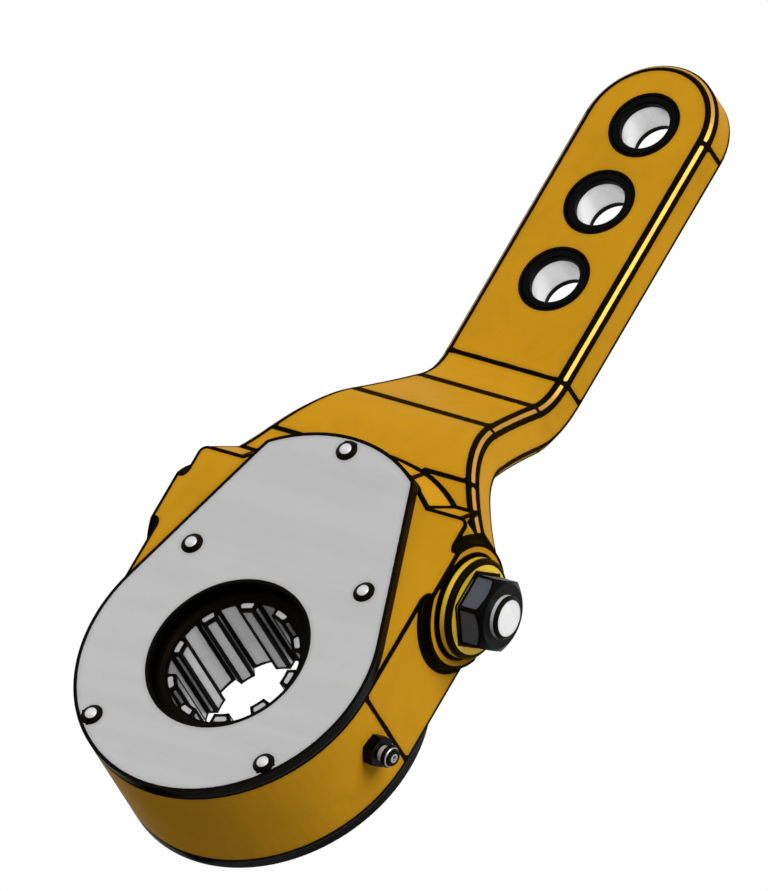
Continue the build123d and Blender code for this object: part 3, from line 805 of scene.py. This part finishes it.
def in_boss_fillet(point):
    """The facets of the bosses' foot fillet, whose two ends are drawn as rings instead."""
    radius = math.hypot(point.y, point.z - worm_height)
    inside = boss_radius - on_surface < radius < boss_radius + boss_fillet + on_surface
    along = half_width - on_surface < abs(point.x) < half_width + boss_fillet + on_surface
    return inside and along and abs(point.y) < half_body - clear_inside


def inside_housing(point):
    """The pocket and the worm bore, which the covers and the worm's parts close."""
    between_sides = abs(point.x) < half_width - side_wall
    return between_sides and abs(point.y) < half_body - clear_inside and point.z < housing_crown


def plain_edges(point):
    """Creases of the body that carry no line: boss fillets' facets, bores' mouths and the inside."""
    radius = math.hypot(point.y, point.z - worm_height)
    mouth = abs(point.x) > boss_face - boss_mouth_depth and radius < boss_bore_radius + boss_mouth_width
    return mouth or in_boss_fillet(point) or inside_housing(point)


def near_crowded_lines(point):
    """Round the bosses, on the sloped shoulders and on the arm's bevels, where the lines crowd."""
    radius = math.hypot(point.y, point.z - worm_height)
    boss = radius < boss_radius + boss_zone_margin and abs(point.x) > half_width - boss_zone_depth
    bore = radius < boss_bore_radius + near_surface and abs(point.x) < boss_face - near_surface
    in_front = point.y < arm_foot_front + shoulder_zone_depth
    shoulder = in_front and shoulder_bottom < point.z < shoulder_top
    return (boss and not bore) or shoulder or on_arm_bevel(point)


def on_arm_bevel(point):
    """The arm's bevels, along both sides and round its tip."""
    if point.z > clevis_heights[-1]:
        inset = arm_half_width - math.hypot(point.x, point.z - clevis_heights[-1])
    else:
        inset = arm_half_width_at(point.z) - abs(point.x)
    return near_surface < inset < arm_bevel + near_surface and point.z > boss_top


def near_splines(point):
    return math.hypot(point.x, point.z) < spline_zone_radius


def fitting_mouth(point):
    """The mouth in the fitting's end, with the ball in it."""
    height = point.dot(fitting_axis)
    apart = point - fitting_axis * height
    return apart.length < fitting_tip_radius - clear_inside and height > half_width


def arm_bevel_faces(face):
    """The arm's bevels, where handling has polished the paint."""
    place = face.calc_center_median()
    if place.z > upper_bend_height:
        leaning = tip_bevel_lean[0] < abs(face.normal.y) < tip_bevel_lean[1]
        return 1 if leaning and abs(face.normal.z) < tip_bevel_rise else 0
    outside = abs(place.x) > arm_half_width_at(place.z) - arm_bevel - clear_inside
    leaning = side_bevel_lean[0] < abs(face.normal.x) < side_bevel_lean[1]
    return 1 if outside and place.z > boss_top and leaning else 0


sleeve_grease = ring_points(boss_face, 0, worm_height, sleeve_ring_radius, "X")
dress("body", [gold_paint, bevel_paint], extra=boss_foot_rings() + sleeve_grease,
      bends=arm_bend_lines() + arm_side_lines() + body_side_lines() + shoulder_lines(),
      choose=arm_bevel_faces, ignore=plain_edges, fine=near_crowded_lines)
for node in ("front_cover", "rear_cover"):
    dress(node, [plated_cover, blackened_face], choose=cover_rim_faces)
dress("worm_wheel", [wheel_steel], fine=near_splines, size=wheel_mesh_size)
dress("lock_sleeve", [yellow_zinc], size=sleeve_mesh_size)
dress("adjusting_hexagon", [hexagon_steel, blackened_face],
      choose=hexagon_end_faces, size=hexagon_mesh_size)
dress("worm_shaft", [shaft_steel], size=shaft_mesh_size)
dress("grease_fitting", [fitting_neck, blackened_face, fitting_head],
      choose=fitting_zones, ignore=fitting_mouth, size=fitting_mesh_size)
dress("worm_bore_plug", [plated_cover], size=shaft_mesh_size)


def yielding_spring():
    """The ball's spring, in spring steel, on a mesh of its own."""
    piece = finish_mesh(merged_mesh("fitting_spring"), "fitting_spring_finished", [])
    piece.data.materials.append(spring_steel)
    stand_for(piece, "fitting_spring")
    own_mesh(piece)


yielding_spring()


# Repeated pieces, made with Geometry Nodes


def new_recipe(name, inputs):
    """Geometry tree with a named input for each size, place and material."""
    kinds = {bpy.types.Material: "Material", tuple: "Vector", int: "Int", float: "Float"}
    tree = bpy.data.node_groups.new(name, "GeometryNodeTree")
    tree.interface.new_socket("Geometry", in_out="INPUT", socket_type="NodeSocketGeometry")
    for key, value in inputs.items():
        socket_type = "NodeSocket" + kinds[type(value)]
        socket = tree.interface.new_socket(key, in_out="INPUT", socket_type=socket_type)
        socket.default_value = value
    tree.interface.new_socket("Geometry", in_out="OUTPUT", socket_type="NodeSocketGeometry")
    return tree, tree.nodes.new("NodeGroupInput").outputs, tree.nodes.new("NodeGroupOutput").inputs[0]


def grow(name, tree, values):
    """Run a geometry tree with a piece's own values, and keep the result as a plain mesh."""
    seed = bpy.data.objects.new(name + "_seed", bpy.data.meshes.new(name + "_seed"))
    bpy.context.scene.collection.objects.link(seed)
    modifier = seed.modifiers.new("recipe", "NODES")
    modifier.node_group = tree
    for item in tree.interface.items_tree:
        if item.in_out == "INPUT" and item.name in values:
            modifier[item.identifier] = values[item.name]
    bpy.context.view_layer.update()
    depsgraph = bpy.context.evaluated_depsgraph_get()
    grown = bpy.data.meshes.new_from_object(seed.evaluated_get(depsgraph))
    seed.modifiers.remove(modifier)
    bpy.data.objects.remove(seed)
    return grown


def rivet_recipe():
    """Domed heads with shanks on a circle of four places, and one more at the top of the cover."""
    tree, given, result = new_recipe("drive_rivets", {
        "Circle Radius": rivet_circle, "Circle Count": rivet_circle_count, "Top Height": top_rivet_height,
        "Head Radius": rivet_head_radius, "Head Height": rivet_head_height,
        "Shank Radius": rivet_shank_radius, "Shank Length": rivet_shank_length,
        "Facing": (0.0, 0.0, 0.0), "Cover Face": (0.0, 0.0, 0.0), "Steel": rivet_steel})
    square = calculate(tree, "MULTIPLY", given["Head Radius"], given["Head Radius"])
    rise = calculate(tree, "MULTIPLY", given["Head Height"], given["Head Height"])
    sphere = calculate(tree, "DIVIDE", calculate(tree, "ADD", square, rise),
                       calculate(tree, "MULTIPLY", given["Head Height"], 2.0))
    spread = calculate(tree, "ARCSINE", calculate(tree, "DIVIDE", given["Head Radius"], sphere))
    drum = add_node(tree, "GeometryNodeMeshCylinder", {
        "Vertices": rivet_head_sides, "Side Segments": rivet_dome_rings, "Radius": 1.0, "Depth": 1.0})
    place = add_node(tree, "GeometryNodeInputPosition").outputs[0]
    apart = add_node(tree, "ShaderNodeSeparateXYZ", {0: place})
    level = calculate(tree, "ADD", apart.outputs[2], 0.5)
    remaining = calculate(tree, "SUBTRACT", 1.0, calculate(tree, "MULTIPLY", level, rivet_dome_share))
    angle = calculate(tree, "MULTIPLY", spread, remaining)
    radius = calculate(tree, "MULTIPLY", sphere, calculate(tree, "SINE", angle))
    rim = calculate(tree, "COSINE", spread)
    height = calculate(tree, "SUBTRACT", calculate(tree, "COSINE", angle), rim)
    height = calculate(tree, "MULTIPLY", sphere, height)
    domed = add_node(tree, "ShaderNodeCombineXYZ", {
        0: calculate(tree, "MULTIPLY", apart.outputs[0], radius),
        1: calculate(tree, "MULTIPLY", apart.outputs[1], radius), 2: height})
    head = add_node(tree, "GeometryNodeSetPosition", {
        "Geometry": drum.outputs[0], "Position": domed.outputs[0]})
    shank = add_node(tree, "GeometryNodeMeshCylinder", {
        "Vertices": rivet_shank_sides, "Radius": given["Shank Radius"],
        "Depth": given["Shank Length"]})
    half_down = calculate(tree, "MULTIPLY", given["Shank Length"], -0.5)
    drop = add_node(tree, "ShaderNodeCombineXYZ", {2: half_down})
    shank = add_node(tree, "GeometryNodeTransform", {
        "Geometry": shank.outputs[0], "Translation": drop.outputs[0]})
    rivet = add_node(tree, "GeometryNodeJoinGeometry")
    tree.links.new(head.outputs[0], rivet.inputs[0])
    tree.links.new(shank.outputs[0], rivet.inputs[0])
    circle = add_node(tree, "GeometryNodeMeshCircle", {
        "Vertices": given["Circle Count"], "Radius": given["Circle Radius"]})
    circle = add_node(tree, "GeometryNodeTransform", {
        "Geometry": circle.outputs[0], "Rotation": (0.0, 0.0, math.radians(45))})
    top = add_node(tree, "ShaderNodeCombineXYZ", {1: given["Top Height"]})
    top = add_node(tree, "GeometryNodeMeshLine", {"Count": 1, "Start Location": top.outputs[0]})
    places = add_node(tree, "GeometryNodeJoinGeometry")
    tree.links.new(circle.outputs[0], places.inputs[0])
    tree.links.new(top.outputs[0], places.inputs[0])
    spots = add_node(tree, "GeometryNodeMeshToPoints", {"Mesh": places.outputs[0]})
    upright = add_node(tree, "GeometryNodeTransform", {
        "Geometry": spots.outputs[0], "Rotation": (math.radians(90), 0.0, 0.0)})
    placed = add_node(tree, "GeometryNodeInstanceOnPoints", {
        "Points": upright.outputs[0], "Instance": rivet.outputs[0], "Rotation": given["Facing"]})
    real = add_node(tree, "GeometryNodeRealizeInstances", {"Geometry": placed.outputs[0]})
    seated = add_node(tree, "GeometryNodeTransform", {
        "Geometry": real.outputs[0], "Translation": given["Cover Face"]})
    painted = add_node(tree, "GeometryNodeSetMaterial", {
        "Geometry": seated.outputs[0], "Material": given["Steel"]})
    tree.links.new(painted.outputs[0], result)
    return tree


def bushing_recipe():
    """Hardened ring for one clevis hole, its end faces blackened and its bore ground bright."""
    tree, given, result = new_recipe("clevis_bushing", {
        "Bore Radius": clevis_bore_radius, "Seat Radius": clevis_seat_radius, "Length": arm_thickness,
        "Chamfer": clevis_chamfer, "Centre": (0.0, 0.0, 0.0), "Bore": bushing_bore,
        "Ends": blackened_face})
    both = calculate(tree, "ADD", given["Bore Radius"], given["Seat Radius"])
    middle = calculate(tree, "MULTIPLY", both, 0.5)
    wall = calculate(tree, "SUBTRACT", given["Seat Radius"], given["Bore Radius"])
    path = add_node(tree, "GeometryNodeCurvePrimitiveCircle", {
        "Resolution": bushing_sides, "Radius": middle})
    section = add_node(tree, "GeometryNodeCurvePrimitiveQuadrilateral", {
        "Width": wall, "Height": given["Length"]})
    section = add_node(tree, "GeometryNodeFilletCurve", {
        "Curve": section.outputs[0], "Radius": given["Chamfer"], "Count": 1}, mode="POLY")
    ring = add_node(tree, "GeometryNodeCurveToMesh", {
        "Curve": path.outputs[0], "Profile Curve": section.outputs[0]})
    turned = add_node(tree, "GeometryNodeTransform", {
        "Geometry": ring.outputs[0], "Rotation": (math.radians(90), 0.0, 0.0),
        "Translation": given["Centre"]})
    real = add_node(tree, "GeometryNodeRealizeInstances", {"Geometry": turned.outputs[0]})
    bright = add_node(tree, "GeometryNodeSetMaterial", {
        "Geometry": real.outputs[0], "Material": given["Bore"]})
    normal = add_node(tree, "GeometryNodeInputNormal").outputs[0]
    apart = add_node(tree, "ShaderNodeSeparateXYZ", {0: normal})
    lean = calculate(tree, "ABSOLUTE", apart.outputs[1])
    is_end = calculate(tree, "GREATER_THAN", lean, ring_end_lean)
    dark = add_node(tree, "GeometryNodeSetMaterial", {
        "Geometry": bright.outputs[0], "Selection": is_end, "Material": given["Ends"]})
    tree.links.new(dark.outputs[0], result)
    return tree


def finish_grown(mesh, name):
    """Give a grown shape the same creases, edge field and outward faces as the dressed pieces."""
    shape = bmesh.new()
    shape.from_mesh(mesh)
    materials = [material for material in mesh.materials if material]
    for face in shape.faces:
        face.material_index = materials.index(mesh.materials[face.material_index])
    bmesh.ops.remove_doubles(shape, verts=shape.verts, dist=joining_distance)
    bmesh.ops.recalc_face_normals(shape, faces=shape.faces)
    bmesh.ops.triangulate(shape, faces=shape.faces)
    line_points = mark_creases(shape)
    refine(shape, mesh_size, field_tree(line_points))
    piece = finish_mesh(shape, name, line_points)
    for material in materials:
        piece.data.materials.append(material)
    return piece


rivet_tree = rivet_recipe()
for side, node in ((-1, "front_cover_rivets"), (1, "rear_cover_rivets")):
    grown = grow(node, rivet_tree, {
        "Facing": (math.radians(-90) * side, 0.0, 0.0), "Cover Face": (0.0, side * cover_face, 0.0)})
    stand_for(finish_grown(grown, f"{node}_finished"), node)

bushing_tree = bushing_recipe()
for index, height in enumerate(clevis_heights, start=1):
    node = f"clevis_bushing_{index}"
    grown = grow(node, bushing_tree, {"Centre": (0.0, arm_front + arm_thickness / 2, height)})
    stand_for(finish_grown(grown, f"{node}_finished"), node)


# Nodes whose shape stays as it is

carried_over = {
    "front_gasket": gasket_sheet,
    "rear_gasket": gasket_sheet,
    "front_hub_seal": seal_rubber,
    "rear_hub_seal": seal_rubber,
    "worm": cut_steel,
    "worm_pin": cut_steel,
    "shaft_o_ring": seal_rubber,
    "left_thrust_washer": spring_steel,
    "right_thrust_washer": spring_steel,
    "left_shaft_bush": bush_bronze,
    "right_shaft_bush": bush_bronze,
    "lock_spring": spring_steel,
    "sleeve_retaining_ring": spring_steel,
    "fitting_ball": ball_steel,
}
for node, material in carried_over.items():
    slots = frame["nodes"][node].data.materials
    slots.clear()
    slots.append(material)


# Studio


def studio_world():
    """White all round for the camera and for reflections, and a plain level of light for surfaces."""
    world = bpy.data.worlds.new("studio")
    bpy.context.scene.world = world
    world.use_nodes = True
    tree = world.node_tree
    tree.nodes.clear()
    rays = tree.nodes.new("ShaderNodeLightPath").outputs
    seen = calculate(tree, "MAXIMUM", rays["Is Camera Ray"], rays["Is Glossy Ray"])
    seen = calculate(tree, "MAXIMUM", seen, rays["Is Transmission Ray"])
    strength = ramp(tree, seen, 0.0, 1.0, studio_level, 1.0)
    light = add_node(tree, "ShaderNodeBackground", {"Color": (1, 1, 1, 1), "Strength": strength})
    output = tree.nodes.new("ShaderNodeOutputWorld")
    tree.links.new(light.outputs[0], output.inputs[0])


def studio_lamp(name, energy, softness, toward):
    """Broad soft lamp, given by the direction in which it stands."""
    lamp = bpy.data.lights.new(name, "SUN")
    lamp.energy = energy
    lamp.angle = math.radians(softness)
    holder = bpy.data.objects.new(name, lamp)
    holder.rotation_euler = Vector(toward).to_track_quat("Z", "Y").to_euler()
    bpy.context.scene.collection.objects.link(holder)
    return holder


def studio_floor(level):
    """Pale floor that is clear from below, so that a view from under it isn't blocked."""
    material = bpy.data.materials.new("pale_floor")
    material.use_nodes = True
    tree = material.node_tree
    tree.nodes.clear()
    rays = tree.nodes.new("ShaderNodeLightPath").outputs
    seen = calculate(tree, "MAXIMUM", rays["Is Camera Ray"], rays["Is Glossy Ray"])
    place = tree.nodes.new("ShaderNodeTexCoord").outputs["Object"]
    cloud = add_node(tree, "ShaderNodeTexNoise", {"Vector": place, "Scale": 6.0, "Detail": 2.0})
    pale = mix_colours(tree, cloud.outputs["Fac"], (0.86, 0.86, 0.86, 1), (0.90, 0.90, 0.90, 1))
    colour = mix_colours(tree, seen, (0.32, 0.32, 0.32, 1), pale)
    top = add_node(tree, "ShaderNodeBsdfPrincipled", {
        "Base Color": colour, "Roughness": 0.9, "Specular IOR Level": 0.1})
    clear = tree.nodes.new("ShaderNodeBsdfTransparent")
    under = tree.nodes.new("ShaderNodeNewGeometry").outputs["Backfacing"]
    open_to = calculate(tree, "MAXIMUM", under, rays["Is Diffuse Ray"])
    either = add_node(tree, "ShaderNodeMixShader", {0: open_to, 1: top.outputs[0], 2: clear.outputs[0]})
    output = tree.nodes.new("ShaderNodeOutputMaterial")
    tree.links.new(either.outputs[0], output.inputs[0])
    corners = [(-1, -1), (1, -1), (1, 1), (-1, 1)]
    mesh = bpy.data.meshes.new("floor")
    mesh.from_pydata([(x * floor_reach, y * floor_reach, level) for x, y in corners], [], [(0, 1, 2, 3)])
    mesh.materials.append(material)
    floor = bpy.data.objects.new("floor", mesh)
    bpy.context.scene.collection.objects.link(floor)


def studio_camera():
    """Parallel view at the photograph's angle, a little from below."""
    right = Vector(view_right).normalized()
    up = Vector(view_up).normalized()
    back = right.cross(up).normalized()
    centre = right * view_centre[0] + up * view_centre[1]
    camera = bpy.data.cameras.new("camera")
    camera.type = "ORTHO"
    camera.ortho_scale = view_size
    camera.clip_start = 0.01
    camera.clip_end = 20.0
    holder = bpy.data.objects.new("camera", camera)
    turn = Matrix((right, up, back)).transposed().to_4x4()
    holder.matrix_world = Matrix.Translation(centre + back * view_distance) @ turn
    bpy.context.scene.collection.objects.link(holder)
    bpy.context.scene.camera = holder


studio_world()
studio_lamp("soft_key", energy=3.29, softness=40, toward=key_toward)
back_lamp = studio_lamp("soft_back", energy=1.8, softness=10, toward=back_toward)
back_lamp.visible_glossy = False
studio_floor(cad_box[0][2] - floor_gap)
studio_camera()
bpy.context.scene.view_settings.view_transform = "Standard"
